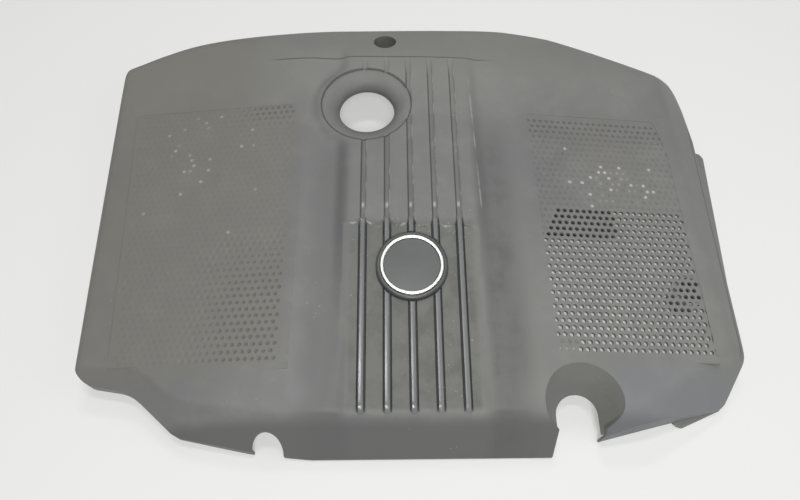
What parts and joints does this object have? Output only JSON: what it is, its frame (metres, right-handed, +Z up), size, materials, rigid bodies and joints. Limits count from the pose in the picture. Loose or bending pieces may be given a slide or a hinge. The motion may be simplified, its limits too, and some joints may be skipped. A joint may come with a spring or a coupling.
{
  "type": "engine cover",
  "caption": "Moulded engine cover with a ribbed middle, oil filler funnel, perforated grille panel, round badge and rubber mounts underneath.",
  "frame": {"origin": "middle of the footprint, on the surface that the rim stands on", "axes": "+X along the width towards the perforated side, +Y towards the rear edge, +Z up through the top face"},
  "size_m": [0.6583, 0.4846, 0.0724],
  "materials": {
    "cover_plastic": "dark grey glass-filled polyamide, fine grain, dusty",
    "badge_plastic": "dark grey satin plastic",
    "badge_chrome": "bright satin chrome plating",
    "mount_rubber": "black rubber",
    "absorber_foam": "black open foam with a felted skin"
  },
  "bodies": {
    "root": {"main_cover": "cover_plastic", "badge_base": "badge_plastic", "badge_ring": "badge_chrome", "badge_disc": "badge_plastic", "mount_1": "mount_rubber", "mount_2": "mount_rubber", "mount_3": "mount_rubber", "mount_4": "mount_rubber", "absorber_left": "absorber_foam", "absorber_right": "absorber_foam"}
  },
  "joints": []
}
